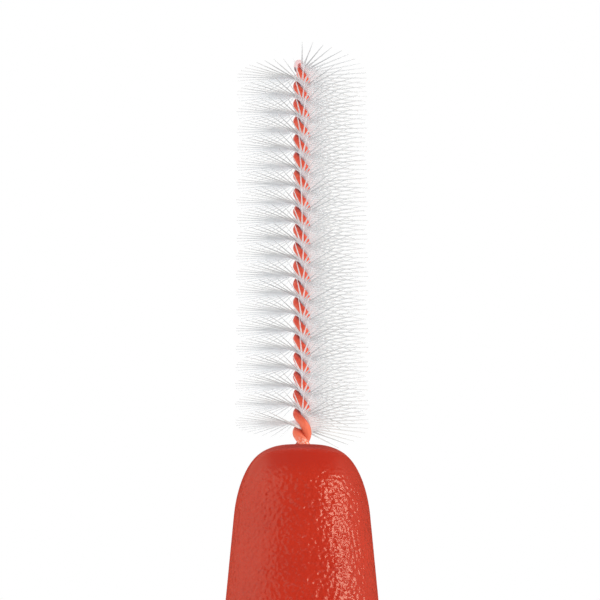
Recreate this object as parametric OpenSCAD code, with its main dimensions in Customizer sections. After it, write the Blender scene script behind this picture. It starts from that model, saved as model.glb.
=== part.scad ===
// Interdental brush: a moulded handle holds a twisted, coated wire that
// pinches double-ended filaments into a cylinder of spiralling bristles.
// Millimetres. The brush stands on its butt, along +Z, with its flats facing
// -Y and +Y. The wire is one piece on the real brush. It is split here where
// the user bends the neck.

/* [Handle] */
// Length from the flat butt to the flat top of the nose
handle_len = 58; // [50:1:75]
// Thickness between the two grip flats
handle_thick = 4.6; // [4.2:0.1:5.6]
// Radius of the flat top of the nose
nose_top_r = 1.08; // [0.8:0.02:1.3]
// Radius where the rounded nose ends, without the flare
nose_r = 1.83; // [1.6:0.05:2.1]
// Depth of the rounded nose
nose_depth = 1.88; // [1.4:0.05:2.4]
// Growth of the radius for each millimetre below the nose
flare = 0.087; // [0.05:0.005:0.11]
// Length of the straight flare, from the top of the nose
flare_len = 5; // [4:0.5:8]
// Radius across the broad grip
grip_r = 3.8; // [3.4:0.1:4.4]
// Distance of the broad grip below the top of the nose
grip_drop = 20; // [16:1:24]
// Radius at the waist
waist_r = 3.35; // [3:0.05:3.4]
// Distance of the waist below the top of the nose
waist_drop = 37; // [32:1:40]
// Radius of the widest place near the butt
butt_r = 3.9; // [3.6:0.1:4.4]
// Height of the widest place near the butt
butt_rise = 5; // [3:0.5:8]
// Rounding of the butt's edge
butt_round = 1.2; // [0.6:0.1:1.6]

/* [Thumb pads] */
// Width of the recessed pad on each flat
pad_w = 4.2; // [3:0.1:4.6]
// Length of the pad, with its round ends
pad_len = 17; // [12:1:20]
// Height of the middle of the pad above the butt
pad_mid = 38; // [34:1:41]
// Depth of the pad
pad_depth = 0.35; // [0.2:0.05:0.6]
// Number of grip ribs on each pad
rib_count = 7; // [3:1:9]
// Width of one rib
rib_w = 0.8; // [0.5:0.1:1]
// Spacing of the ribs
rib_step = 1.8; // [1.4:0.1:2]
// How far the ribs stay below the flat
rib_drop = 0.1; // [0.05:0.05:0.15]

/* [Twisted wire] */
// Diameter of the steel core
core_d = 0.18; // [0.14:0.01:0.2]
// Diameter of the coated wire
coat_d = 0.24; // [0.22:0.01:0.3]
// Height of one full turn of the twist
twist_pitch = 1.175; // [1.1:0.005:1.4]
// Clearance between a filament and each of the strands that pinch it
pinch_fit = 0.015; // [0.015:0.005:0.03]
// Length of the straight legs moulded into the handle
leg_len = 9; // [6:0.5:14]
// Height of the bend above the top of the nose
bend_rise = 0.47; // [0.4:0.01:0.8]

/* [Bristles] */
// Diameter over the filament tips
bristle_d = 4; // [3:0.1:6]
// Thickness of one square filament
filament_w = 0.04; // [0.03:0.005:0.045]
// Number of filaments for each half turn of the wire
half_turn_count = 10; // [6:1:11]
// Number of filaments left off the last half turn
left_off = 1; // [0:1:3]
// Height of the first filament above the start of the twist
first_rise = 0.13; // [0.05:0.01:0.3]

/* [Tip] */
// Length of wire above the last filament, up to the fold
tip_rise = 0.02; // [0.02:0.01:0.2]
// Diameter of the resin bead on the fold
bead_d = 0.3; // [0.24:0.01:0.4]
// Height of the resin bead
bead_h = 0.06; // [0.04:0.01:0.14]

/* [Hidden] */

// Clearance between the core and its coating, and round the legs in the handle
fit = 0.005;
// Gap that the twist leaves on its axis for a filament
pinch_gap = filament_w + 2 * pinch_fit;
// Side of the thin square line that joins a tuft's filaments on the axis
spine_w = filament_w * 0.6;
// Overrun of every cut
over = coat_d;
// Distance of each strand's centre from the brush axis
strand_r = (coat_d + pinch_gap) / 2;
// Sides of the strands, rings in one turn and segments in the fold
strand_sides = 6;
turn_rings = 8;
fold_steps = 4;
// Points on the nose, on each eased stretch of the handle and on its rounded butt
nose_steps = 10;
ease_steps = 7;
round_steps = 5;
$fn = 64;

// Heights above the butt
nose_z = handle_len;
bend_z = nose_z + bend_rise;
twist_z = bend_z + coat_d;
first_z = twist_z + first_rise;
tuft_count = 20;
filament_count = tuft_count * half_turn_count - left_off;
filament_step = twist_pitch / 2 / half_turn_count;
last_z = first_z + (filament_count - 1) * filament_step;
fold_z = last_z + tip_rise;
fold_top_z = fold_z + strand_r + coat_d / 2 * cos(180 / strand_sides);

// Handle outline: radius at a distance d below the top of the nose
function ease(t) = (1 - cos(180 * t)) / 2;
function mix(a, b, t) = a + (b - a) * t;
function nose_radius(d) =
    nose_top_r + (nose_r - nose_top_r) * sqrt(max(0, 1 - pow(1 - d / nose_depth, 2))) + flare * d;
flare_r = nose_r + flare * flare_len;
function flare_radius(t) =
    let (run = grip_drop - flare_len)
    mix(flare_r, grip_r, t * t * (3 - 2 * t)) + run * flare * t * pow(1 - t, 2);

function nose_points() = [for (i = [0 : nose_steps])
    let (d = nose_depth * (1 - cos(90 * i / nose_steps))) [nose_radius(d), nose_z - d]];
function flare_points() = [for (i = [0 : ease_steps])
    let (t = i / ease_steps) [flare_radius(t), nose_z - mix(flare_len, grip_drop, t)]];
function waist_points() = [for (i = [1 : ease_steps])
    let (t = i / ease_steps) [mix(grip_r, waist_r, ease(t)), nose_z - mix(grip_drop, waist_drop, t)]];
function butt_points() = [for (i = [1 : ease_steps])
    let (t = i / ease_steps)
    [mix(waist_r, butt_r, ease(t)), mix(nose_z - waist_drop, butt_rise, t)]];
function round_points() = [for (i = [0 : round_steps])
    let (a = 90 * i / round_steps)
    [butt_r - butt_round * (1 - cos(a)), butt_round * (1 - sin(a))]];
function handle_outline() =
    concat([[0, nose_z]], nose_points(), flare_points(), waist_points(), butt_points(),
        round_points(), [[0, 0]]);

// Twist: azimuth of the first strand, which turns clockwise on the way up
function azimuth(z) = -360 * (z - twist_z) / twist_pitch;
function spoke(a) = [cos(a), sin(a), 0];
function unit(v) = v / norm(v);
twist_slope = 2 * PI * strand_r / twist_pitch;

// A ring's frame is [centre, outward direction, sideways direction]. The
// sideways direction is the tube's own direction crossed with the outward one.
function frame_at(centre, out, along) = [centre, out, cross(unit(along), out)];
function leg_frame(z, side) =
    frame_at([side * strand_r, 0, z], [side, 0, 0], [0, 0, side]);
function twist_frame(z, side) =
    let (a = azimuth(z), out = side * spoke(a), turn = side * spoke(a - 90))
    frame_at(strand_r * out + [0, 0, z], out, side * (twist_slope * turn + [0, 0, 1]));
function fold_frame(t) =
    let (out = cos(180 * t) * spoke(azimuth(fold_z)) + [0, 0, sin(180 * t)],
        along = [0, 0, cos(180 * t)] - sin(180 * t) * spoke(azimuth(fold_z)))
    frame_at(strand_r * out + [0, 0, fold_z], out, along);

twist_steps = ceil((fold_z - twist_z) / twist_pitch * turn_rings);
function twist_height(i) = mix(twist_z, fold_z, i / twist_steps);
// The whole hairpin: up one strand, over the fold and down the other strand
function hairpin() = concat(
    [leg_frame(bend_z, 1), leg_frame(twist_z, 1)],
    [for (i = [1 : twist_steps - 1]) twist_frame(twist_height(i), 1)],
    [for (i = [0 : fold_steps]) fold_frame(i / fold_steps)],
    [for (i = [1 : twist_steps - 1]) twist_frame(twist_height(twist_steps - i), -1)],
    [leg_frame(twist_z, -1), leg_frame(bend_z, -1)]);

function ring(f, r) = [for (k = [0 : strand_sides - 1])
    let (a = 180 / strand_sides * (2 * k + 1)) f[0] + r * (cos(a) * f[1] + sin(a) * f[2])];

// Faces of a skin of rings that starts at point s and turns outwards or inwards
function quad(a, b, c, d, flip) = flip ? [[a, c, b], [a, d, c]] : [[a, b, c], [a, c, d]];
function skin(s, rings, flip) = [for (j = [0 : rings - 2], k = [0 : strand_sides - 1])
    let (n = strand_sides, m = (k + 1) % n, p = s + j * n, q = p + n)
    each quad(p + k, q + k, q + m, p + m, flip)];
function cap(s, flip) = [for (k = [1 : strand_sides - 2])
    flip ? [s, s + k + 1, s + k] : [s, s + k, s + k + 1]];
function rim(s, t, flip) = [for (k = [0 : strand_sides - 1])
    let (m = (k + 1) % strand_sides) each quad(s + k, s + m, t + m, t + k, flip)];

// Solid strand of radius r, or a tube with a bore of radius hole
module strand(r, hole = 0) {
    frames = hairpin();
    rings = len(frames);
    last = (rings - 1) * strand_sides;
    inner = rings * strand_sides;
    outside = [for (f = frames) each ring(f, r)];
    if (hole == 0)
        polyhedron(outside, concat(skin(0, rings, false), cap(0, false), cap(last, true)));
    else
        polyhedron(concat(outside, [for (f = frames) each ring(f, hole)]),
            concat(skin(0, rings, false), skin(inner, rings, true),
                rim(0, inner, false), rim(last, inner + last, true)));
}

// Straight pair of legs of diameter d, between two heights
module legs(d, low, high) {
    for (side = [-1, 1])
        translate([side * strand_r, 0, low]) cylinder(d = d, h = high - low);
}

module leg_channel() {
    translate([0, 0, nose_z - leg_len - fit]) linear_extrude(leg_len + fit + over) {
        square([2 * strand_r, coat_d + 2 * fit], center = true);
        for (side = [-1, 1]) translate([side * strand_r, 0]) circle(d = coat_d + 2 * fit);
    }
}

module pad_outline() {
    straight = pad_len - pad_w;
    square([pad_w, straight], center = true);
    for (side = [-1, 1]) translate([0, side * straight / 2]) circle(d = pad_w);
}

module pad_ribs() {
    for (i = [0 : rib_count - 1])
        translate([0, (i - (rib_count - 1) / 2) * rib_step]) square([pad_w + over, rib_w], center = true);
}

// Pad on the front flat: a recess with ribs that stay below the flat
module pad_cut() {
    translate([0, -handle_thick / 2, pad_mid]) rotate([90, 0, 0]) {
        translate([0, 0, -pad_depth]) linear_extrude(pad_depth + over) difference() {
            pad_outline();
            pad_ribs();
        }
        translate([0, 0, -rib_drop]) linear_extrude(rib_drop + over) pad_outline();
    }
}

module handle() {
    color("#C5301F") difference() {
        intersection() {
            rotate_extrude() polygon(handle_outline());
            translate([-butt_r - grip_r, -handle_thick / 2, -over])
                cube([2 * (butt_r + grip_r), handle_thick, handle_len + 2 * over]);
        }
        leg_channel();
        pad_cut();
        mirror([0, 1, 0]) pad_cut();
    }
}

module core_wire_root() {
    color("#B9BCC0") legs(core_d, nose_z - leg_len, bend_z);
}

module coating_root() {
    color("#E8432B") difference() {
        legs(coat_d, nose_z - leg_len, bend_z);
        legs(core_d + 2 * fit, nose_z - leg_len - over, bend_z + over);
    }
}

module core_wire_stem() {
    color("#B9BCC0") strand(core_d / 2);
}

module coating_stem() {
    color("#E8432B") strand(coat_d / 2, core_d / 2 + fit);
}

// Flattened dome on top of the fold
module tip_bead() {
    dome_r = (pow(bead_d / 2, 2) + pow(bead_h, 2)) / (2 * bead_h);
    color("#F2B8AE") translate([0, 0, fold_top_z]) intersection() {
        translate([0, 0, bead_h - dome_r]) sphere(r = dome_r);
        cylinder(d = bead_d + over, h = bead_h + over);
    }
}

// One half turn of filaments: each is a bar right through the twist, at right
// angles to the line between the two strands, so a row of them is a spiral
// staircase. The spine is the pinched line that joins them on the axis.
module bristle_tuft(number) {
    low = (number - 1) * half_turn_count;
    high = min(number * half_turn_count, filament_count) - 1;
    low_z = first_z + low * filament_step - filament_w / 2;
    high_z = first_z + high * filament_step + filament_w / 2;
    color("#E6E8EA") {
        for (i = [low : high])
            let (z = first_z + i * filament_step)
            translate([0, 0, z]) rotate([0, 0, azimuth(z)])
                cube([filament_w, bristle_d, filament_w], center = true);
        translate([-spine_w / 2, -spine_w / 2, low_z]) cube([spine_w, spine_w, high_z - low_z]);
    }
}

// Least gap between the two strands, and between the strands and a filament,
// measured on the points of the rings
ring_points = [for (f = hairpin()) each ring(f, coat_d / 2)];
function gap_to_axis() = min([for (p = ring_points) if (p[2] < fold_z) norm([p[0], p[1]])]);
echo(least_gap_between_strands = 2 * gap_to_axis(), filament_w = filament_w);

handle();
core_wire_root();
coating_root();
core_wire_stem();
coating_stem();
tip_bead();
bristle_tuft(1);  // bristle_tuft_01
bristle_tuft(2);  // bristle_tuft_02
bristle_tuft(3);  // bristle_tuft_03
bristle_tuft(4);  // bristle_tuft_04
bristle_tuft(5);  // bristle_tuft_05
bristle_tuft(6);  // bristle_tuft_06
bristle_tuft(7);  // bristle_tuft_07
bristle_tuft(8);  // bristle_tuft_08
bristle_tuft(9);  // bristle_tuft_09
bristle_tuft(10);  // bristle_tuft_10
bristle_tuft(11);  // bristle_tuft_11
bristle_tuft(12);  // bristle_tuft_12
bristle_tuft(13);  // bristle_tuft_13
bristle_tuft(14);  // bristle_tuft_14
bristle_tuft(15);  // bristle_tuft_15
bristle_tuft(16);  // bristle_tuft_16
bristle_tuft(17);  // bristle_tuft_17
bristle_tuft(18);  // bristle_tuft_18
bristle_tuft(19);  // bristle_tuft_19
bristle_tuft(20);  // bristle_tuft_20
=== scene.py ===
"""Interdental brush: a glossy red moulded handle, a red coated wire folded and twisted on itself,
and twenty half turns of clear nylon filaments pinched in the twist."""

import math

import bmesh
import bpy
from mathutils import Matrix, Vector


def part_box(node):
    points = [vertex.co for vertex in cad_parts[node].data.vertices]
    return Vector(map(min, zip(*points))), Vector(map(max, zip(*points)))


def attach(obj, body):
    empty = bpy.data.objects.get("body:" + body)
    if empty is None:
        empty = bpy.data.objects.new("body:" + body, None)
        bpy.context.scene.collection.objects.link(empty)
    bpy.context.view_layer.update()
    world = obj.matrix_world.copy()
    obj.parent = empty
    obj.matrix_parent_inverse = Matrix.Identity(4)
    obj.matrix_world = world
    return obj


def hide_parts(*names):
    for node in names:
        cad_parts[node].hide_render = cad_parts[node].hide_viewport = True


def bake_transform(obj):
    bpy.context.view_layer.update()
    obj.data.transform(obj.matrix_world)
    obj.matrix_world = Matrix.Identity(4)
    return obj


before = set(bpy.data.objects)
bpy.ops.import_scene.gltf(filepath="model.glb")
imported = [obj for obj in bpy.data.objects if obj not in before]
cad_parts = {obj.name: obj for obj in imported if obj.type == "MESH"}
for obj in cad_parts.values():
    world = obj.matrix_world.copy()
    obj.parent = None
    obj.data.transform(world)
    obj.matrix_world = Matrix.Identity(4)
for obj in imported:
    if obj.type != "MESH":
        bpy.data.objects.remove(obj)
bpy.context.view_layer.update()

MM = 0.001

# Sizes that follow the frame
NOSE_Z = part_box("handle")[1].z
HALF_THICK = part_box("handle")[1].y
LEG_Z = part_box("coating_root")[0].z
TIP_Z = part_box("tip_bead")[1].z
TUFTS = sorted(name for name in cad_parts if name.startswith("bristle_tuft"))
CAD_FILAMENT = 0.04 * MM
FIRST_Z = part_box(TUFTS[0])[0].z + CAD_FILAMENT / 2
LAST_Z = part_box(TUFTS[-1])[1].z - CAD_FILAMENT / 2
BRISTLE_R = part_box(TUFTS[4])[1].y

# Filaments
TUFT_FILAMENTS = 20         # a little over half a turn
FILAMENTS = 395
FILAMENT_TURN = math.radians(9.05)
FILAMENT_STEP = (LAST_Z - FIRST_Z) / (FILAMENTS - 1)
LAST_AZIMUTH = math.radians(90.5)   # the topmost filament points to the front and back
FILAMENT_D = 0.078 * MM     # near the wire
FILAMENT_SHORT = 0.02 * MM  # keeps the waving ends inside the frame's box

# Wire
CORE_R = 0.085 * MM
COAT_R = 0.118 * MM         # radius of the coated wire, squeezed by the filaments
NECK_COAT_R = 0.145 * MM    # and below them
STRAND_R = 0.150 * MM       # from the brush axis to the middle of a strand
NECK_STRAND_R = 0.135 * MM
SQUEEZE_DROP = 0.15 * MM    # the squeeze starts this far below the first filament
SQUEEZE_LEN = 0.45 * MM
FOOT_RISE = 0.25 * MM       # below this height above the nose the strands draw together
FOOT_LEN = 0.30 * MM
THIN_DROP = 0.30 * MM       # above this depth below the last filament the wire thins
THIN_LEN = 0.35 * MM
TWIST_LOW_Z = NOSE_Z - 0.6 * MM
LEG_GAP = 0.15 * MM         # from the straight leg to the first turn
RINGS_PER_MM = 34
FOLD_FROM = 0.22 * MM       # where the front strand leaves the twist, below the last filament
FOLD_BACK_FROM = 0.33 * MM  # and where the back strand joins it again
# Points of the fold, from the front strand over the tip and down behind it, in mm right of and behind the
# axis and above the last filament
FOLD = [(-0.080, -0.05, -0.05), (-0.068, -0.04, 0.06), (-0.060, -0.01, 0.12), (-0.04, 0.05, 0.06),
        (0.0, 0.115, -0.08), (0.06, 0.135, -0.20)]

# Handle, in the frame's proportions
HANDLE_LEN = NOSE_Z
NOSE_TOP_R = 1.08 * MM
NOSE_R = 1.83 * MM
NOSE_DEPTH = 1.88 * MM
FLARE = 0.087
FLARE_LEN = 5 * MM
GRIP_R = 3.8 * MM
GRIP_DROP = 20 * MM
WAIST_R = 3.35 * MM
WAIST_DROP = 37 * MM
BUTT_R = 3.9 * MM
BUTT_RISE = 5 * MM
BUTT_ROUND = 1.2 * MM
EDGE_BLEND = 0.5 * MM       # softness of the edge between a grip flat and the round side
PAD_W = 4.2 * MM
PAD_LEN = 17 * MM
PAD_MID = 38 * MM
PAD_DEPTH = 0.35 * MM
RIB_COUNT = 7
RIB_W = 0.8 * MM
RIB_STEP = 1.8 * MM
RIB_DROP = 0.1 * MM
PAD_EDGE = 0.16 * MM        # width of the rounded edge of the pad and its ribs
FLAT_REACH = 0.2 * MM       # only points this close to a grip flat are moved by the pad
RIM_DIP = 0.033 * MM        # the rim of the nose dips in the middle of the front and back
RIM_DIP_HALF_W = 0.85 * MM
RIM_DIP_LEN = 0.25 * MM
# Rings of the flat top of the nose, as radius and rise in mm: a small fillet where it meets the wire
COLLAR = [(0.10, 0.02), (0.24, 0.02), (0.29, 0.018), (0.33, 0.01), (0.38, 0.003), (0.45, 0.0), (0.7, 0.0),
          (0.95, 0.0)]

# Options that many nodes share
SOFT = {"interpolation_type": "SMOOTHSTEP"}
COLOUR = {"data_type": "RGBA"}
NUMBER = {"data_type": "FLOAT"}
PLUS = {"operation": "ADD"}
MINUS = {"operation": "SUBTRACT"}
TIMES = {"operation": "MULTIPLY"}
TIMES_PLUS = {"operation": "MULTIPLY_ADD"}
LARGER = {"operation": "MAXIMUM"}
UNSIGNED = {"operation": "ABSOLUTE"}
LENGTH = {"operation": "LENGTH"}


def srgb(code):
    """Linear colour of an sRGB hex value."""
    parts = [int(code[i:i + 2], 16) / 255 for i in (0, 2, 4)]
    return [p / 12.92 if p <= 0.04045 else ((p + 0.055) / 1.055) ** 2.4 for p in parts] + [1.0]


def add(tree, kind, settings=None, **links):
    """Adds a node. settings are its own options. links are its inputs, by name or as _number:
    an output socket is linked and anything else is set as the value."""
    made = tree.nodes.new(kind)
    for key, value in (settings or {}).items():
        setattr(made, key, value)
    for key, value in links.items():
        index = int(key[1:]) if key[0] == "_" else None
        socket = made.inputs[index] if index is not None else made.inputs[key.replace("_", " ")]
        if isinstance(value, bpy.types.NodeSocket):
            tree.links.new(value, socket)
        else:
            socket.default_value = value
    return made


def smooth(t):
    t = min(1.0, max(0.0, t))
    return t * t * (3 - 2 * t)


def mix(a, b, t):
    return a + (b - a) * t


def ease(t):
    return (1 - math.cos(math.pi * t)) / 2


def new_mesh(name, points, faces):
    """A smooth-shaded object at the origin, with its normals turned outwards."""
    mesh = bpy.data.meshes.new(name)
    mesh.from_pydata(points, [], faces)
    work = bmesh.new()
    work.from_mesh(mesh)
    bmesh.ops.recalc_face_normals(work, faces=work.faces)
    work.to_mesh(mesh)
    work.free()
    mesh.polygons.foreach_set("use_smooth", [True] * len(mesh.polygons))
    made = bpy.data.objects.new(name, mesh)
    bpy.context.scene.collection.objects.link(made)
    return made


def ring_faces(rings, sides):
    """Quads between successive rings of points, and a flat cap at each end."""
    faces = []
    for j in range(rings - 1):
        low = j * sides
        high = low + sides
        for k in range(sides):
            after = (k + 1) % sides
            faces.append((low + k, low + after, high + after, high + k))
    faces.append(tuple(range(sides)))
    faces.append(tuple((rings - 1) * sides + k for k in range(sides)))
    return faces


# Materials

def new_material(name):
    made = bpy.data.materials.new(name)
    made.use_nodes = True
    return made, made.node_tree, made.node_tree.nodes["Principled BSDF"]


def moulded_polypropylene():
    """Injection-moulded polypropylene with a deep red pigment. A polished nose, matt on top, runs into a
    fine spark-eroded grain, which breaks the highlight into small sparks."""
    ripple = 0.11 * MM
    pit = 0.13 * MM
    grain_depth = 0.036 * MM
    cloud = 1.6 * MM
    made, tree, shader = new_material("moulded_polypropylene_red")
    place = add(tree, "ShaderNodeTexCoord").outputs["Object"]
    part = add(tree, "ShaderNodeSeparateXYZ", _0=place).outputs
    height = part["Z"]
    # The grain, of ripples between pits, starts below the nose
    grained = add(tree, "ShaderNodeMapRange", SOFT, _0=height, _1=NOSE_Z - 0.6 * MM,
                  _2=NOSE_Z - 1.5 * MM, _3=0.0, _4=1.0).outputs[0]
    grit = add(tree, "ShaderNodeTexNoise", _0=place, Scale=1 / ripple, Detail=1.0,
               Roughness=0.4).outputs["Fac"]
    pits = add(tree, "ShaderNodeTexVoronoi", {"feature": "SMOOTH_F1"}, Vector=place, Scale=1 / pit)
    both = add(tree, "ShaderNodeMath", TIMES_PLUS, _0=pits.outputs["Distance"], _1=1.1, _2=grit).outputs[0]
    grain = add(tree, "ShaderNodeMath", TIMES, _0=both, _1=grained).outputs[0]
    bump = add(tree, "ShaderNodeBump", Height=grain, Strength=1.0, Distance=grain_depth)
    # The pigment is a little uneven. The polished nose is painted a little darker, as shade on its
    # upward-turning face.
    wave = add(tree, "ShaderNodeTexNoise", _0=place, Scale=1 / cloud, Detail=1.0)
    shade = add(tree, "ShaderNodeValToRGB", Fac=wave.outputs["Fac"])
    for mark, at, tint in zip(shade.color_ramp.elements, (0.3, 0.7), ("BA2B19", "C2301C")):
        mark.position = at
        mark.color = srgb(tint)
    colour = add(tree, "ShaderNodeMix", COLOUR, _0=grained, _6=srgb("B72A1B"),
                 _7=shade.outputs["Color"]).outputs[2]
    # The top of the nose is matt, and its colour is painted darker there as shade along its rim
    rim = add(tree, "ShaderNodeMapRange", SOFT, _0=height, _1=NOSE_Z - 0.32 * MM,
              _2=NOSE_Z - 0.10 * MM, _3=0.0, _4=0.75).outputs[0]
    colour = add(tree, "ShaderNodeMix", COLOUR, _0=rim, _6=colour, _7=srgb("7C2013")).outputs[2]
    # Painted shade of the wire: the top of the nose is darkest and reddest in front of and behind it
    beside = add(tree, "ShaderNodeMath", UNSIGNED, _0=part["X"]).outputs[0]
    wire_shade_across = add(tree, "ShaderNodeMapRange", SOFT, _0=beside, _1=0.9 * MM, _2=0.25 * MM,
               _3=0.0, _4=0.9).outputs[0]
    matt = add(tree, "ShaderNodeMapRange", SOFT, _0=height, _1=NOSE_Z - 0.36 * MM,
               _2=NOSE_Z - 0.14 * MM, _3=0.0, _4=1.0).outputs[0]
    under = add(tree, "ShaderNodeMath", TIMES, _0=wire_shade_across, _1=matt).outputs[0]
    colour = add(tree, "ShaderNodeMix", COLOUR, _0=under, _6=colour, _7=srgb("860B04")).outputs[2]
    # The light that it throws on the filaments is paler
    thrown = add(tree, "ShaderNodeLightPath").outputs["Is Diffuse Ray"]
    colour = add(tree, "ShaderNodeMix", COLOUR, _0=thrown, _6=colour, _7=srgb("E6DCD8")).outputs[2]
    rough = add(tree, "ShaderNodeMapRange", _0=grit, _1=0.3, _2=0.7, _3=0.14, _4=0.22).outputs[0]
    rough = add(tree, "ShaderNodeMix", NUMBER, _0=matt, _2=rough, _3=0.9).outputs[0]
    tree.links.new(colour, shader.inputs["Base Color"])
    tree.links.new(bump.outputs["Normal"], shader.inputs["Normal"])
    tree.links.new(rough, shader.inputs["Roughness"])
    shader.inputs["Sheen Weight"].default_value = 0.5
    shader.inputs["Sheen Roughness"].default_value = 0.5
    shader.inputs["Sheen Tint"].default_value = srgb("F56048")
    shader.inputs["IOR"].default_value = 1.49
    return made


def coated_wire():
    """Extruded polyamide coating on the wire: bright orange red and semi-gloss, slightly uneven."""
    unevenness = 0.12 * MM
    speck = 0.07 * MM
    made, tree, shader = new_material("extruded_polyamide_coating_red")
    place = add(tree, "ShaderNodeTexCoord").outputs["Object"]
    part = add(tree, "ShaderNodeSeparateXYZ", _0=place).outputs
    height = part["Z"]
    flow = add(tree, "ShaderNodeTexNoise", _0=place, Scale=1 / unevenness, Detail=2.0).outputs["Fac"]
    shade = add(tree, "ShaderNodeValToRGB", Fac=flow)
    for mark, at, tint in zip(shade.color_ramp.elements, (0.3, 0.7), ("E03D26", "F4603E")):
        mark.position = at
        mark.color = srgb(tint)
    # The neck is painted lighter than the pinched part, as light that no filaments block there. Near the
    # nose it has pale specks.
    painted_neck_light = add(tree, "ShaderNodeMapRange", SOFT, _0=height, _1=FIRST_Z + 0.5 * MM, _2=FIRST_Z,
               _3=0.0, _4=0.85).outputs[0]
    colour = add(tree, "ShaderNodeMix", COLOUR, _0=painted_neck_light, _6=shade.outputs["Color"],
                 _7=srgb("FB7A58")).outputs[2]
    low = add(tree, "ShaderNodeMapRange", SOFT, _0=height, _1=NOSE_Z + 0.60 * MM,
              _2=NOSE_Z + 0.25 * MM, _3=0.0, _4=1.0).outputs[0]
    specks = add(tree, "ShaderNodeTexNoise", _0=place, Scale=1 / speck, Detail=1.0).outputs["Fac"]
    specks = add(tree, "ShaderNodeMapRange", SOFT, _0=specks, _1=0.46, _2=0.54, _3=0.0, _4=1.0).outputs[0]
    pale_specks = add(tree, "ShaderNodeMath", TIMES, _0=low, _1=specks).outputs[0]
    colour = add(tree, "ShaderNodeMix", COLOUR, _0=pale_specks, _6=colour, _7=srgb("FFCFC0")).outputs[2]
    # Less light reaches the groove between the strands, where filaments cross it
    flat = add(tree, "ShaderNodeVectorMath", TIMES, _0=place, _1=(1, 1, 0)).outputs[0]
    out = add(tree, "ShaderNodeVectorMath", LENGTH, _0=flat).outputs["Value"]
    groove = add(tree, "ShaderNodeMapRange", SOFT, _0=out, _1=0.21 * MM, _2=0.12 * MM,
                 _3=0.0, _4=0.9).outputs[0]
    for start, full in ((LAST_Z - 0.25 * MM, LAST_Z - 0.45 * MM),
                        (FIRST_Z + 0.25 * MM, FIRST_Z + 0.5 * MM)):
        crossed = add(tree, "ShaderNodeMapRange", SOFT, _0=height, _1=start, _2=full,
                      _3=0.0, _4=1.0).outputs[0]
        groove = add(tree, "ShaderNodeMath", TIMES, _0=groove, _1=crossed).outputs[0]
    colour = add(tree, "ShaderNodeMix", COLOUR, _0=groove, _6=colour, _7=srgb("8E1C10")).outputs[2]
    # Each strand is painted darker at its upper edge, as shade under the filaments, and painted lighter at
    # its lower edge, as light.
    # across is the angle from the middle of the strand, up to a quarter turn at its edges.
    around = add(tree, "ShaderNodeMath", {"operation": "ARCTAN2"}, _0=part["Y"], _1=part["X"]).outputs[0]
    rate = FILAMENT_TURN / FILAMENT_STEP
    across = add(tree, "ShaderNodeMath", TIMES_PLUS, _0=height, _1=rate, _2=around).outputs[0]
    across = add(tree, "ShaderNodeMath", MINUS, _0=across,
                 _1=LAST_AZIMUTH + rate * LAST_Z - math.pi / 2).outputs[0]
    across = add(tree, "ShaderNodeMath", {"operation": "WRAP"}, _0=across,
                 _1=math.pi / 2, _2=-math.pi / 2).outputs[0]
    for start, full, most, tint in ((0.45, 1.25, 0.75, "A32419"), (0.1, -0.9, 0.5, "FF8464")):
        edge = add(tree, "ShaderNodeMapRange", SOFT, _0=across, _1=start, _2=full,
                   _3=0.0, _4=most).outputs[0]
        colour = add(tree, "ShaderNodeMix", COLOUR, _0=edge, _6=colour, _7=srgb(tint)).outputs[2]
    # Painted shade: a dark line where the wire leaves the nose
    foot = add(tree, "ShaderNodeMapRange", SOFT, _0=height, _1=NOSE_Z + 0.10 * MM,
               _2=NOSE_Z + 0.05 * MM, _3=0.0, _4=0.9).outputs[0]
    colour = add(tree, "ShaderNodeMix", COLOUR, _0=foot, _6=colour, _7=srgb("7A1510")).outputs[2]
    bump = add(tree, "ShaderNodeBump", Height=flow, Strength=0.4, Distance=0.004 * MM)
    tree.links.new(colour, shader.inputs["Base Color"])
    tree.links.new(bump.outputs["Normal"], shader.inputs["Normal"])
    shader.inputs["Roughness"].default_value = 0.38
    shader.inputs["IOR"].default_value = 1.53
    return made


def drawn_steel():
    """Drawn stainless steel wire: bright, with small changes of gloss from drawing. The coating hides
    it."""
    draw_mark = 0.03 * MM
    made, tree, shader = new_material("drawn_stainless_steel")
    place = add(tree, "ShaderNodeTexCoord").outputs["Object"]
    marks = add(tree, "ShaderNodeTexNoise", _0=place, Scale=1 / draw_mark, Detail=1.0)
    rough = add(tree, "ShaderNodeMapRange", _0=marks.outputs["Fac"], _3=0.2, _4=0.4)
    shader.inputs["Base Color"].default_value = srgb("C4C5C7")
    shader.inputs["Metallic"].default_value = 1.0
    tree.links.new(rough.outputs[0], shader.inputs["Roughness"])
    return made


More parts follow.
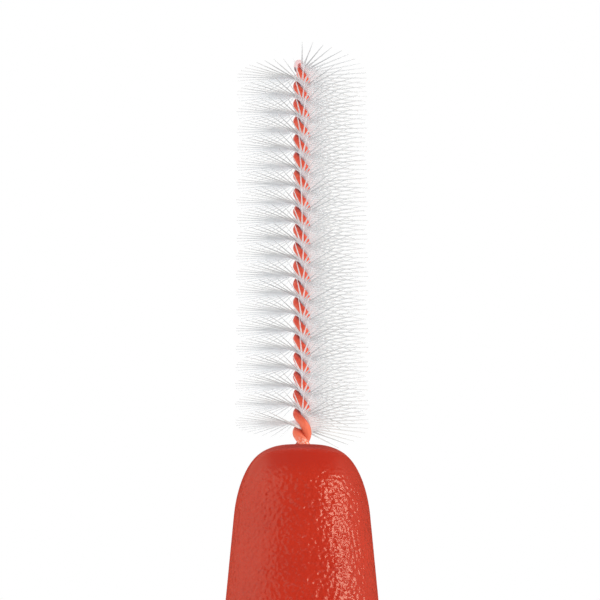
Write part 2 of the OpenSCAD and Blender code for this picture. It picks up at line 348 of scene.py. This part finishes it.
def clear_resin():
    """A drop of cured resin over the fold of the wire: pale pink and see-through."""
    cloud = 0.15 * MM
    made, tree, shader = new_material("cured_resin_pink")
    place = add(tree, "ShaderNodeTexCoord").outputs["Object"]
    part = add(tree, "ShaderNodeSeparateXYZ", _0=place).outputs
    haze = add(tree, "ShaderNodeTexNoise", _0=place, Scale=1 / cloud, Detail=2.0)
    shade = add(tree, "ShaderNodeValToRGB", Fac=haze.outputs["Fac"])
    for mark, tint in zip(shade.color_ramp.elements, ("F09CA2", "F7C0C4")):
        mark.color = srgb(tint)
    # The drop ends in a darker edge on its hanging side
    side = add(tree, "ShaderNodeMapRange", SOFT, _0=part["X"], _1=-0.15 * MM, _2=-0.19 * MM,
               _3=0.0, _4=1.0).outputs[0]
    low = add(tree, "ShaderNodeMapRange", SOFT, _0=part["Z"], _1=TIP_Z - 0.28 * MM,
              _2=TIP_Z - 0.34 * MM, _3=0.0, _4=1.0).outputs[0]
    edge = add(tree, "ShaderNodeMath", TIMES, _0=side, _1=low).outputs[0]
    colour = add(tree, "ShaderNodeMix", COLOUR, _0=edge, _6=shade.outputs["Color"],
                 _7=srgb("6E3E4A")).outputs[2]
    solid = add(tree, "ShaderNodeMapRange", _0=edge, _1=0.0, _2=1.0, _3=0.34, _4=0.75).outputs[0]
    tree.links.new(colour, shader.inputs["Base Color"])
    tree.links.new(solid, shader.inputs["Alpha"])
    shader.inputs["Roughness"].default_value = 0.2
    shader.inputs["IOR"].default_value = 1.5
    return made


def nylon():
    """Extruded nylon monofilament: clear, so that on white only a fine grey line down its middle shows and
    on the red wire it shows pale. It fades towards its ends."""
    made, tree, shader = new_material("extruded_nylon_filament")
    reach = add(tree, "ShaderNodeAttribute", {"attribute_name": "reach"}).outputs["Fac"]
    tone = add(tree, "ShaderNodeAttribute", {"attribute_name": "tone"}).outputs["Fac"]
    place = add(tree, "ShaderNodeTexCoord").outputs["Object"]
    part = add(tree, "ShaderNodeSeparateXYZ", _0=place).outputs
    flat = add(tree, "ShaderNodeVectorMath", TIMES, _0=place, _1=(1, 1, 0)).outputs[0]
    out = add(tree, "ShaderNodeVectorMath", LENGTH, _0=flat).outputs["Value"]

    # Glass-like: 1 down the middle of a filament seen from its side, and less the more it is seen end on
    away = add(tree, "ShaderNodeLayerWeight", Blend=0.5).outputs["Facing"]
    facing = add(tree, "ShaderNodeMath", MINUS, _0=1.0, _1=away).outputs[0]
    middle = add(tree, "ShaderNodeMath", TIMES, _0=facing, _1=facing).outputs[0]

    # Close to the wire the filaments overlap and take each other's light, most of all on the left
    left = add(tree, "ShaderNodeMapRange", SOFT, _0=part["X"], _1=0.2 * MM, _2=-0.2 * MM,
               _3=0.0, _4=1.0).outputs[0]
    right = add(tree, "ShaderNodeMath", MINUS, _0=1.0, _1=left).outputs[0]
    few = add(tree, "ShaderNodeMapRange", SOFT, _0=out, _1=1.2 * MM, _2=0.35 * MM,
              _3=0.0, _4=0.04).outputs[0]
    few = add(tree, "ShaderNodeMath", TIMES, _0=few, _1=right).outputs[0]
    many = add(tree, "ShaderNodeMapRange", SOFT, _0=out, _1=1.5 * MM, _2=0.5 * MM,
               _3=0.0, _4=0.30).outputs[0]
    many = add(tree, "ShaderNodeMath", TIMES, _0=many, _1=left).outputs[0]
    crowd = add(tree, "ShaderNodeMath", PLUS, _0=few, _1=many).outputs[0]
    broad = add(tree, "ShaderNodeMapRange", SOFT, _0=middle, _1=0.25, _2=0.7, _3=0.0, _4=1.0).outputs[0]
    crowd = add(tree, "ShaderNodeMath", TIMES, _0=crowd, _1=broad).outputs[0]
    pinched = add(tree, "ShaderNodeMapRange", SOFT, _0=out, _1=0.50 * MM, _2=0.18 * MM,
                  _3=0.0, _4=0.17).outputs[0]
    crowd = add(tree, "ShaderNodeMath", LARGER, _0=crowd, _1=pinched).outputs[0]
    pale = add(tree, "ShaderNodeMix", COLOUR, _0=crowd, _6=srgb("F8FBFE"), _7=srgb("BDC0C5")).outputs[2]

    # The line is darkest in a filament seen at a slant, lighter in one seen from its side, and faint in one
    # seen end on, unless it stands free above the tip
    free = add(tree, "ShaderNodeMapRange", SOFT, _0=part["Z"], _1=LAST_Z - 0.12 * MM,
               _2=LAST_Z - 0.02 * MM, _3=0.0, _4=1.0).outputs[0]
    end_on = add(tree, "ShaderNodeMapRange", SOFT, _0=out, _1=0.25 * MM, _2=0.5 * MM,
                 _3=0.0, _4=0.55).outputs[0]
    end_on = add(tree, "ShaderNodeMath", TIMES, _0=free, _1=end_on).outputs[0]
    slant = add(tree, "ShaderNodeMapRange", SOFT, _0=middle, _1=0.13, _2=0.19, _3=0.0, _4=1.0).outputs[0]
    outside = add(tree, "ShaderNodeMapRange", SOFT, _0=out, _1=0.2 * MM, _2=0.5 * MM,
                  _3=0.2, _4=1.0).outputs[0]
    slanting = add(tree, "ShaderNodeMath", TIMES, _0=slant, _1=outside).outputs[0]
    least = add(tree, "ShaderNodeMapRange", SOFT, _0=out, _1=0.3 * MM, _2=0.9 * MM,
                _3=0.05, _4=0.31).outputs[0]
    side_on = add(tree, "ShaderNodeMapRange", SOFT, _0=middle, _1=0.40, _2=0.80,
                  _3=0.66, _4=least).outputs[0]
    # It is fainter on the right, and on the left behind the wire
    behind = add(tree, "ShaderNodeMapRange", SOFT, _0=part["Y"], _1=-0.2 * MM, _2=0.4 * MM,
                 _3=0.0, _4=0.42).outputs[0]
    fainter = add(tree, "ShaderNodeMath", TIMES, _0=left, _1=behind).outputs[0]
    fainter = add(tree, "ShaderNodeMath", TIMES_PLUS, _0=right, _1=0.19, _2=fainter).outputs[0]
    kept = add(tree, "ShaderNodeMath", MINUS, _0=1.0, _1=fainter).outputs[0]
    side_on = add(tree, "ShaderNodeMath", TIMES, _0=side_on, _1=kept).outputs[0]
    line = add(tree, "ShaderNodeMath", TIMES, _0=slanting, _1=side_on).outputs[0]
    line = add(tree, "ShaderNodeMath", LARGER, _0=line, _1=end_on).outputs[0]
    own = add(tree, "ShaderNodeMath", TIMES_PLUS, _0=tone, _1=0.5, _2=0.75).outputs[0]
    depth = add(tree, "ShaderNodeMath", TIMES, _0=line, _1=own).outputs[0]
    shade = add(tree, "ShaderNodeMix", COLOUR, _0=depth, _6=pale, _7=srgb("73777C")).outputs[2]

    # The wire shows through a filament seen end on
    solid = add(tree, "ShaderNodeMapRange", SOFT, _0=middle, _1=0.10, _2=0.20, _3=0.52, _4=1.0).outputs[0]
    solid = add(tree, "ShaderNodeMath", LARGER, _0=solid, _1=end_on).outputs[0]
    fade = add(tree, "ShaderNodeMapRange", SOFT, _0=reach, _1=0.5, _2=1.0, _3=1.0, _4=0.4).outputs[0]
    alpha = add(tree, "ShaderNodeMath", TIMES, _0=solid, _1=fade).outputs[0]
    tree.links.new(shade, shader.inputs["Base Color"])
    tree.links.new(shade, shader.inputs["Emission Color"])
    tree.links.new(alpha, shader.inputs["Alpha"])
    # A painted glow: the filaments give off a little light in their own shade, standing in for the light
    # that clear filaments pass on to each other
    shader.inputs["Emission Strength"].default_value = 0.17
    shader.inputs["Roughness"].default_value = 0.35
    shader.inputs["IOR"].default_value = 1.53
    return made


HANDLE_PLASTIC = moulded_polypropylene()
WIRE_COATING = coated_wire()
WIRE_STEEL = drawn_steel()
TIP_RESIN = clear_resin()
NYLON = nylon()


# Handle

def handle_radius(drop):
    """Radius of the turned shape at a distance below the top of the nose."""
    if drop < NOSE_DEPTH:
        shoulder = math.sqrt(max(0.0, 1 - (1 - drop / NOSE_DEPTH) ** 2))
        return NOSE_TOP_R + (NOSE_R - NOSE_TOP_R) * shoulder + FLARE * drop
    flare_r = NOSE_R + FLARE * FLARE_LEN
    if drop < FLARE_LEN:
        return NOSE_R + FLARE * drop
    if drop < GRIP_DROP:
        run = GRIP_DROP - FLARE_LEN
        t = (drop - FLARE_LEN) / run
        return mix(flare_r, GRIP_R, smooth(t)) + run * FLARE * t * (1 - t) ** 2
    if drop < WAIST_DROP:
        return mix(GRIP_R, WAIST_R, ease((drop - GRIP_DROP) / (WAIST_DROP - GRIP_DROP)))
    low = HANDLE_LEN - BUTT_RISE
    if drop < low:
        return mix(WAIST_R, BUTT_R, ease((drop - WAIST_DROP) / (low - WAIST_DROP)))
    rise = HANDLE_LEN - drop
    if rise > BUTT_ROUND:
        return BUTT_R
    return BUTT_R - BUTT_ROUND + math.sqrt(max(0.0, BUTT_ROUND ** 2 - (BUTT_ROUND - rise) ** 2))


def soft_min(a, b, k):
    """The smaller of two lengths, rounded off where they are within k of each other."""
    h = max(k - abs(a - b), 0.0) / k
    return min(a, b) - h * h * k / 4


def pad_hollow(x, z):
    """Depth of the thumb pad's recess, ribs included, at a point of the flat."""
    straight = (PAD_LEN - PAD_W) / 2
    along = max(0.0, abs(z - PAD_MID) - straight)
    inside = PAD_W / 2 - math.hypot(x, along)
    if inside <= -PAD_EDGE / 2:
        return 0.0
    edge = smooth(inside / PAD_EDGE + 0.5)
    rib = 0.0
    for i in range(RIB_COUNT):
        middle = PAD_MID + (i - (RIB_COUNT - 1) / 2) * RIB_STEP
        rib = max(rib, smooth((RIB_W / 2 - abs(z - middle)) / PAD_EDGE + 0.5))
    return edge * mix(PAD_DEPTH, RIB_DROP, rib)


def rim_dip(x, drop):
    """How far the rim of the nose dips, right or left of its middle and below its top."""
    return RIM_DIP * smooth(1 - abs(x) / RIM_DIP_HALF_W) * smooth(1 - drop / RIM_DIP_LEN)


def handle_drops():
    """Depths of the handle's rings below its top: close on the nose, the pads and the butt."""
    pad_top = HANDLE_LEN - PAD_MID - PAD_LEN / 2 - PAD_EDGE
    pad_low = HANDLE_LEN - PAD_MID + PAD_LEN / 2 + PAD_EDGE
    butt_top = HANDLE_LEN - BUTT_ROUND
    nose_steps = 26
    butt_steps = 12
    quarter = math.pi / 2
    drops = [NOSE_DEPTH * (1 - math.cos(quarter * i / nose_steps)) for i in range(nose_steps + 1)]
    for start, end, steps in ((NOSE_DEPTH, FLARE_LEN, 12), (FLARE_LEN, pad_top, 18),
                              (pad_top, pad_low, 230), (pad_low, butt_top, 50)):
        drops += [mix(start, end, i / steps) for i in range(1, steps + 1)]
    drops += [butt_top + BUTT_ROUND * math.sin(quarter * i / butt_steps) for i in range(1, butt_steps + 1)]
    return drops


def make_handle():
    sides = 192
    turns = [2 * math.pi * k / sides for k in range(sides)]
    points = []
    for r_mm, rise_mm in COLLAR:
        flat = smooth((r_mm - 0.4) / 0.4)
        for a in turns:
            x, y = r_mm * MM * math.cos(a), r_mm * MM * math.sin(a)
            points.append((x, y, NOSE_Z + rise_mm * MM - rim_dip(x, 0) * flat))
    drops = handle_drops()
    for drop in drops:
        turned = handle_radius(drop)
        z = HANDLE_LEN - drop
        for a in turns:
            wall = HALF_THICK / max(abs(math.sin(a)), 1e-6)
            r = soft_min(turned, wall, EDGE_BLEND)
            x, y = r * math.cos(a), r * math.sin(a)
            if turned > HALF_THICK and abs(y) > HALF_THICK - FLAT_REACH:
                y -= math.copysign(pad_hollow(x, z), y)
            points.append((x, y, z - rim_dip(x, drop)))
    made = new_mesh("handle_shell", points, ring_faces(len(COLLAR) + len(drops), sides))
    made.data.materials.append(HANDLE_PLASTIC)
    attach(made, "handle")
    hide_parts("handle")


# Twisted wire

def filament_azimuth(z):
    """Direction of the filament at a height. The twist is left-handed."""
    return LAST_AZIMUTH + FILAMENT_TURN * (LAST_Z - z) / FILAMENT_STEP


def squeezed(z):
    """0 where the strands lie against each other below the filaments, and 1 where they pinch them."""
    return smooth((z - FIRST_Z + SQUEEZE_DROP) / SQUEEZE_LEN)


def on_twist(z, side):
    """Middle of a strand at a height of the twist. side is -1 for the front strand at the tip, 1 for the
    other."""
    a = filament_azimuth(z) - math.pi / 2
    drawn_in = mix(1.0, 0.7, smooth((NOSE_Z + FOOT_RISE - z) / FOOT_LEN))
    r = mix(NECK_STRAND_R, STRAND_R, squeezed(z)) * drawn_in
    return Vector((side * r * math.cos(a), side * r * math.sin(a), z))


def strand(top, side):
    """Middle line of a strand: its straight leg in the handle, and the twist up to a height."""
    count = int((top - TWIST_LOW_Z) / MM * RINGS_PER_MM)
    foot = on_twist(TWIST_LOW_Z, side)
    leg_top = TWIST_LOW_Z - LEG_GAP
    leg_steps = 6
    leg = [Vector((foot.x, foot.y, mix(LEG_Z, leg_top, i / leg_steps))) for i in range(leg_steps + 1)]
    return leg + [on_twist(mix(TWIST_LOW_Z, top, i / count), side) for i in range(count + 1)]


def wire_path():
    """Middle line of the wire: up one strand, in a smooth curve over the fold, and down the other."""
    up = strand(LAST_Z - FOLD_FROM, -1)
    down = strand(LAST_Z - FOLD_BACK_FROM, 1)
    over = [Vector((x * MM, y * MM, LAST_Z + z * MM)) for x, y, z in FOLD]
    knots = up[-2:] + over + down[:-3:-1]
    fold = []
    steps = 5
    for i in range(1, len(knots) - 2):
        a, b, c, d = knots[i - 1:i + 3]
        for k in range(steps):
            t = k / steps
            fold.append(((2 * b) + (c - a) * t + (2 * a - 5 * b + 4 * c - d) * t ** 2
                         + (3 * b - a - 3 * c + d) * t ** 3) / 2)
    return up[:-1] + fold + down[::-1]


def tube(name, path, radius, sides):
    """A round tube along a path, with a frame that is carried along without twisting. radius is a
    function of the height."""
    count = len(path)
    along = [(path[min(i + 1, count - 1)] - path[max(i - 1, 0)]).normalized() for i in range(count)]
    out = along[0].orthogonal().normalized()
    points = []
    for i in range(count):
        out = (out - along[i] * out.dot(along[i])).normalized()
        across = along[i].cross(out)
        wide = radius(path[i].z)
        for k in range(sides):
            a = 2 * math.pi * k / sides
            points.append(path[i] + wide * (math.cos(a) * out + math.sin(a) * across))
    return new_mesh(name, points, ring_faces(count, sides))


def thinned(z, least):
    """1 along the wire, and down to least in the drop at the tip."""
    return mix(1.0, least, smooth((z - LAST_Z + THIN_DROP) / THIN_LEN))


def core_radius(z):
    return CORE_R * thinned(z, 0.45)


def coat_radius(z):
    """The coating is squeezed by the filaments, and thinner in the drop at the tip and in the nose."""
    in_nose = mix(1.0, 0.8, smooth((NOSE_Z + FOOT_RISE - z) / FOOT_RISE))
    return mix(NECK_COAT_R, COAT_R, squeezed(z)) * thinned(z, 0.5) * in_nose


def make_wire():
    path = wire_path()
    core = tube("steel_core", path, core_radius, sides=10)
    core.data.materials.append(WIRE_STEEL)
    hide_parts("core_wire_root", "core_wire_stem")
    coating = tube("wire_coating", path, coat_radius, sides=18)
    coating.data.materials.append(WIRE_COATING)
    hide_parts("coating_root", "coating_stem")
    # Their transforms are baked into their meshes
    for piece in (core, coating):
        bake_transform(piece)


def make_tip_bead():
    """A drop that sits over the fold and hangs a little down its left side."""
    middle = Vector((-0.086 * MM, 0.005 * MM, TIP_Z - 0.255 * MM))
    half = Vector((0.150 * MM, 0.130 * MM, 0.215 * MM))
    lean = 0.02 * MM
    sides, rings = 32, 22
    points = []
    for j in range(1, rings):
        lat = math.pi * j / rings - math.pi / 2
        # Fuller at the top than at the hanging end, which leans to the left
        swell = math.cos(lat) ** 0.85 * (1 + 0.08 * math.sin(lat))
        sag = lean * (1 - math.sin(lat)) / 2
        for k in range(sides):
            a = 2 * math.pi * k / sides
            points.append(middle + Vector((half.x * swell * math.cos(a) - sag,
                                           half.y * swell * math.sin(a), half.z * math.sin(lat))))
    made = new_mesh("tip_drop", points, ring_faces(rings - 1, sides))
    made.data.materials.append(TIP_RESIN)
    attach(made, "brush_head")
    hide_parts("tip_bead")


# Filaments

def filament_tree():
    """Geometry nodes: a row of points up the axis, a filament through each, and each filament turned one
    step from the last, with small random turns, tilts and lengths and a slow wave towards its ends."""
    tree = bpy.data.node_groups.new("filament_row", "GeometryNodeTree")
    face = tree.interface
    inputs = {}
    for kind, names in (("NodeSocketInt", ("Count", "Seed")), ("NodeSocketMaterial", ("Finish",)),
                        ("NodeSocketFloat", ("First Height", "Height Step", "First Azimuth", "Azimuth Step",
                                             "Length", "Thickness", "Azimuth Jitter", "Tilt Jitter",
                                             "Length Jitter", "Wave"))):
        for name in names:
            inputs[name] = face.new_socket(name, in_out="INPUT", socket_type=kind).identifier
    face.new_socket("Mesh", in_out="OUTPUT", socket_type="NodeSocketGeometry")
    given = add(tree, "NodeGroupInput").outputs

    # One filament along X. reach is 0 at the wire and 1 at both ends, where it is thinner.
    half = add(tree, "ShaderNodeMath", TIMES, _0=given["Length"], _1=0.5).outputs[0]
    back = add(tree, "ShaderNodeMath", TIMES, _0=half, _1=-1.0).outputs[0]
    left_end = add(tree, "ShaderNodeCombineXYZ", X=back).outputs[0]
    right_end = add(tree, "ShaderNodeCombineXYZ", X=half).outputs[0]
    line = add(tree, "GeometryNodeCurvePrimitiveLine", _0=left_end, _1=right_end).outputs[0]
    line = add(tree, "GeometryNodeResampleCurve", Curve=line, Count=13).outputs[0]
    along = add(tree, "GeometryNodeSplineParameter").outputs["Factor"]
    from_middle = add(tree, "ShaderNodeMath", MINUS, _0=along, _1=0.5).outputs[0]
    from_middle = add(tree, "ShaderNodeMath", UNSIGNED, _0=from_middle).outputs[0]
    reach = add(tree, "ShaderNodeMath", TIMES, _0=from_middle, _1=2.0).outputs[0]
    taper = add(tree, "ShaderNodeMapRange", _0=reach, _1=0.6, _2=1.0, _3=1.0, _4=0.6).outputs[0]
    thin = add(tree, "ShaderNodeMapRange", _0=reach, _1=0.167, _2=0.45, _3=1.0, _4=0.47).outputs[0]
    taper = add(tree, "ShaderNodeMath", TIMES, _0=taper, _1=thin).outputs[0]
    line = add(tree, "GeometryNodeStoreNamedAttribute", {"data_type": "FLOAT", "domain": "POINT"},
               Geometry=line, Name="reach", Value=reach).outputs[0]
    radius = add(tree, "ShaderNodeMath", TIMES, _0=given["Thickness"], _1=0.5).outputs[0]
    ring = add(tree, "GeometryNodeCurvePrimitiveCircle", Resolution=6, Radius=radius).outputs[0]
    filament = add(tree, "GeometryNodeCurveToMesh", _0=line, _1=ring, _2=taper, _3=True).outputs[0]

    # Random parts for its turn, tilt, length and tone, each with a seed of its own
    chances = []
    for low, high in ((-1.0, 1.0), (-1.0, 1.0), (-1.0, 0.0), (0.0, 1.0)):
        own = add(tree, "ShaderNodeMath", PLUS, _0=given["Seed"], _1=len(chances) + 1).outputs[0]
        chances.append(add(tree, "FunctionNodeRandomValue", _2=low, _3=high, _8=own).outputs[1])

    # The row of filaments up the axis
    base = add(tree, "ShaderNodeCombineXYZ", Z=given["First Height"]).outputs[0]
    step = add(tree, "ShaderNodeCombineXYZ", Z=given["Height Step"]).outputs[0]
    row = add(tree, "GeometryNodeMeshLine", Count=given["Count"], Start_Location=base,
              Offset=step).outputs[0]
    number = add(tree, "GeometryNodeInputIndex").outputs[0]
    turn = add(tree, "ShaderNodeMath", TIMES_PLUS, _0=number, _1=given["Azimuth Step"],
               _2=given["First Azimuth"]).outputs[0]
    turn = add(tree, "ShaderNodeMath", TIMES_PLUS, _0=chances[0], _1=given["Azimuth Jitter"],
               _2=turn).outputs[0]
    tilt = add(tree, "ShaderNodeMath", TIMES, _0=chances[1], _1=given["Tilt Jitter"]).outputs[0]
    turned = add(tree, "ShaderNodeCombineXYZ", Y=tilt, Z=turn).outputs[0]
    longer = add(tree, "ShaderNodeMath", TIMES_PLUS, _0=chances[2], _1=given["Length Jitter"],
                 _2=1.0).outputs[0]
    sized = add(tree, "ShaderNodeCombineXYZ", X=longer, Y=1.0, Z=1.0).outputs[0]
    copies = add(tree, "GeometryNodeInstanceOnPoints", Points=row, Instance=filament, Rotation=turned,
                 Scale=sized).outputs[0]
    copies = add(tree, "GeometryNodeStoreNamedAttribute", {"data_type": "FLOAT", "domain": "INSTANCE"},
                 Geometry=copies, Name="tone", Value=chances[3]).outputs[0]
    real = add(tree, "GeometryNodeRealizeInstances", Geometry=copies).outputs[0]

    # A slow wave, which grows towards the ends
    wave_len = 0.9 * MM
    here = add(tree, "GeometryNodeInputPosition").outputs[0]
    wave = add(tree, "ShaderNodeTexNoise", {"noise_dimensions": "4D"}, Vector=here,
               W=given["Seed"], Scale=1 / wave_len, Detail=1.0)
    centred = add(tree, "ShaderNodeVectorMath", MINUS, _0=wave.outputs["Color"],
                  _1=(0.5, 0.5, 0.5)).outputs[0]
    far = add(tree, "GeometryNodeInputNamedAttribute", NUMBER, Name="reach").outputs[0]
    amount = add(tree, "ShaderNodeMath", TIMES, _0=far, _1=far).outputs[0]
    amount = add(tree, "ShaderNodeMath", TIMES, _0=amount, _1=given["Wave"]).outputs[0]
    push = add(tree, "ShaderNodeVectorMath", {"operation": "SCALE"}, _0=centred, Scale=amount).outputs[0]
    real = add(tree, "GeometryNodeSetPosition", Geometry=real, Offset=push).outputs[0]
    real = add(tree, "GeometryNodeSetShadeSmooth", Geometry=real).outputs[0]
    done = add(tree, "GeometryNodeSetMaterial", Geometry=real, Material=given["Finish"]).outputs[0]
    add(tree, "NodeGroupOutput", Mesh=done)
    return tree, inputs


def make_tufts():
    tree, inputs = filament_tree()
    for tuft, name in enumerate(TUFTS):
        first = tuft * TUFT_FILAMENTS
        count = min(TUFT_FILAMENTS, FILAMENTS - first)
        low = FIRST_Z + first * FILAMENT_STEP
        values = {"Count": count, "First Height": low, "Height Step": FILAMENT_STEP,
                  "First Azimuth": filament_azimuth(low), "Azimuth Step": -FILAMENT_TURN,
                  "Length": 2 * BRISTLE_R - FILAMENT_SHORT, "Thickness": FILAMENT_D,
                  "Azimuth Jitter": math.radians(0.5), "Tilt Jitter": math.radians(0.2),
                  "Length Jitter": 0.02, "Wave": 0.03 * MM, "Seed": 11 + 7 * tuft, "Finish": NYLON}
        holder = bpy.data.objects.new(name + "_row", bpy.data.meshes.new(name + "_row"))
        bpy.context.scene.collection.objects.link(holder)
        rows = holder.modifiers.new("filaments", "NODES")
        rows.node_group = tree
        for key, value in values.items():
            rows[inputs[key]] = value
        graph = bpy.context.evaluated_depsgraph_get()
        plain = bpy.data.meshes.new_from_object(holder.evaluated_get(graph))
        holder.modifiers.clear()
        holder.data = plain
        holder.name = "filaments_" + name[-2:]
        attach(holder, "brush_head")
        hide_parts(name)


make_handle()
make_wire()
make_tip_bead()
make_tufts()


# Studio

WARM = (1.0, 0.85, 0.65, 1.0)   # linear colour of the lamp and of the walls in reflections
WHITE = (1, 1, 1, 1)
BLACK = (0, 0, 0, 1)


def make_floor():
    made = new_mesh("studio_floor", [(-1, -1, 0), (1, -1, 0), (1, 1, 0), (-1, 1, 0)], [(0, 1, 2, 3)])
    pale, _, shader = new_material("pale_studio_floor")
    shader.inputs["Base Color"].default_value = srgb("F2F2F2")
    shader.inputs["Roughness"].default_value = 0.8
    made.data.materials.append(pale)


def make_world():
    """A white background for the camera and through the filaments. In reflections dark cards cover it in
    front, above and in part behind, and leave a warm white wall at each side."""
    world = bpy.data.worlds.new("studio")
    world.use_nodes = True
    bpy.context.scene.world = world
    tree = world.node_tree
    rays = add(tree, "ShaderNodeLightPath").outputs
    toward = add(tree, "ShaderNodeTexCoord").outputs["Generated"]
    part = add(tree, "ShaderNodeSeparateXYZ", _0=toward).outputs
    # The left wall's edge slants away below
    under = add(tree, "ShaderNodeMapRange", SOFT, _0=part["Z"], _1=0.64, _2=0.42,
                _3=0.0, _4=0.22).outputs[0]
    left = add(tree, "ShaderNodeMath", PLUS, _0=part["X"], _1=under).outputs[0]
    left = add(tree, "ShaderNodeMapRange", SOFT, _0=left, _1=-0.30, _2=-0.36, _3=0.0, _4=1.0).outputs[0]
    right = add(tree, "ShaderNodeMapRange", SOFT, _0=part["X"], _1=0.30, _2=0.75,
                _3=0.0, _4=0.62).outputs[0]
    behind = add(tree, "ShaderNodeMapRange", SOFT, _0=part["Y"], _1=0.1, _2=0.45,
                 _3=1.0, _4=0.35).outputs[0]
    above = add(tree, "ShaderNodeMapRange", SOFT, _0=part["Z"], _1=0.68, _2=0.86,
                _3=1.0, _4=0.05).outputs[0]
    open_part = add(tree, "ShaderNodeMath", PLUS, _0=left, _1=right).outputs[0]
    open_part = add(tree, "ShaderNodeMath", TIMES, _0=open_part, _1=behind).outputs[0]
    open_part = add(tree, "ShaderNodeMath", TIMES, _0=open_part, _1=above).outputs[0]
    open_part = add(tree, "ShaderNodeMath", PLUS, _0=0.05, _1=open_part).outputs[0]
    walls = add(tree, "ShaderNodeMix", COLOUR, _0=open_part, _6=BLACK, _7=WARM).outputs[2]
    seen = add(tree, "ShaderNodeMix", COLOUR, _0=rays["Is Glossy Ray"], _6=WHITE, _7=walls).outputs[2]
    # The light on the object is a little stronger from the left and from behind
    lean = add(tree, "ShaderNodeVectorMath", {"operation": "DOT_PRODUCT"}, _0=toward,
               _1=(-0.56, 0.28, -0.28)).outputs["Value"]
    light = add(tree, "ShaderNodeMath", PLUS, _0=lean, _1=1.09).outputs[0]
    shown = add(tree, "ShaderNodeMath", LARGER, _0=rays["Is Glossy Ray"],
                _1=rays["Is Transmission Ray"]).outputs[0]
    shown = add(tree, "ShaderNodeMath", LARGER, _0=rays["Is Camera Ray"], _1=shown).outputs[0]
    strength = add(tree, "ShaderNodeMix", NUMBER, _0=shown, _2=light, _3=1.0).outputs[0]
    sky = tree.nodes["Background"]
    tree.links.new(seen, sky.inputs["Color"])
    tree.links.new(strength, sky.inputs["Strength"])


def panel(name, azimuth, height, distance, size, power):
    """A soft panel that faces the nose of the handle. Azimuth 0 is the front, 90 the right."""
    aim = Vector((0, 0, NOSE_Z))
    turn = math.radians(azimuth)
    rise = math.radians(height)
    away = Vector((math.sin(turn) * math.cos(rise), -math.cos(turn) * math.cos(rise), math.sin(rise)))
    lamp = bpy.data.lights.new(name, "AREA")
    lamp.shape = "RECTANGLE"
    lamp.size, lamp.size_y = size
    lamp.energy = power
    lamp.color = WARM[:3]
    made = bpy.data.objects.new(name, lamp)
    made.location = aim + away * distance
    made.rotation_euler = (-away).to_track_quat("-Z", "Y").to_euler()
    bpy.context.scene.collection.objects.link(made)


def make_camera():
    """The camera is below the brush and looks up, so that the tip leans away. The view is framed by the
    column where the brush axis falls in the picture of 600 x 600, and by the height at its middle row."""
    picture = 600
    axis_px = 302
    middle_row_z = NOSE_Z + 4.92 * MM
    focal_px = 4400
    sensor = 36.0
    rise = math.radians(21.5)
    distance = 131 * MM
    aim = Vector((-(axis_px - picture / 2) / focal_px * distance, 0, middle_row_z))
    look = Vector((0, math.cos(rise), math.sin(rise)))
    camera = bpy.data.cameras.new("camera")
    camera.sensor_width = sensor
    camera.lens = focal_px / picture * sensor
    camera.clip_start = 0.01
    camera.clip_end = 20
    made = bpy.data.objects.new("camera", camera)
    made.location = aim - look * distance
    made.rotation_euler = look.to_track_quat("-Z", "Y").to_euler()
    bpy.context.scene.collection.objects.link(made)
    bpy.context.scene.camera = made


make_floor()
make_world()
panel("strip_right", azimuth=63, height=24, distance=0.45, size=(0.24, 0.20), power=0.96)
make_camera()
bpy.context.scene.view_settings.view_transform = "Standard"
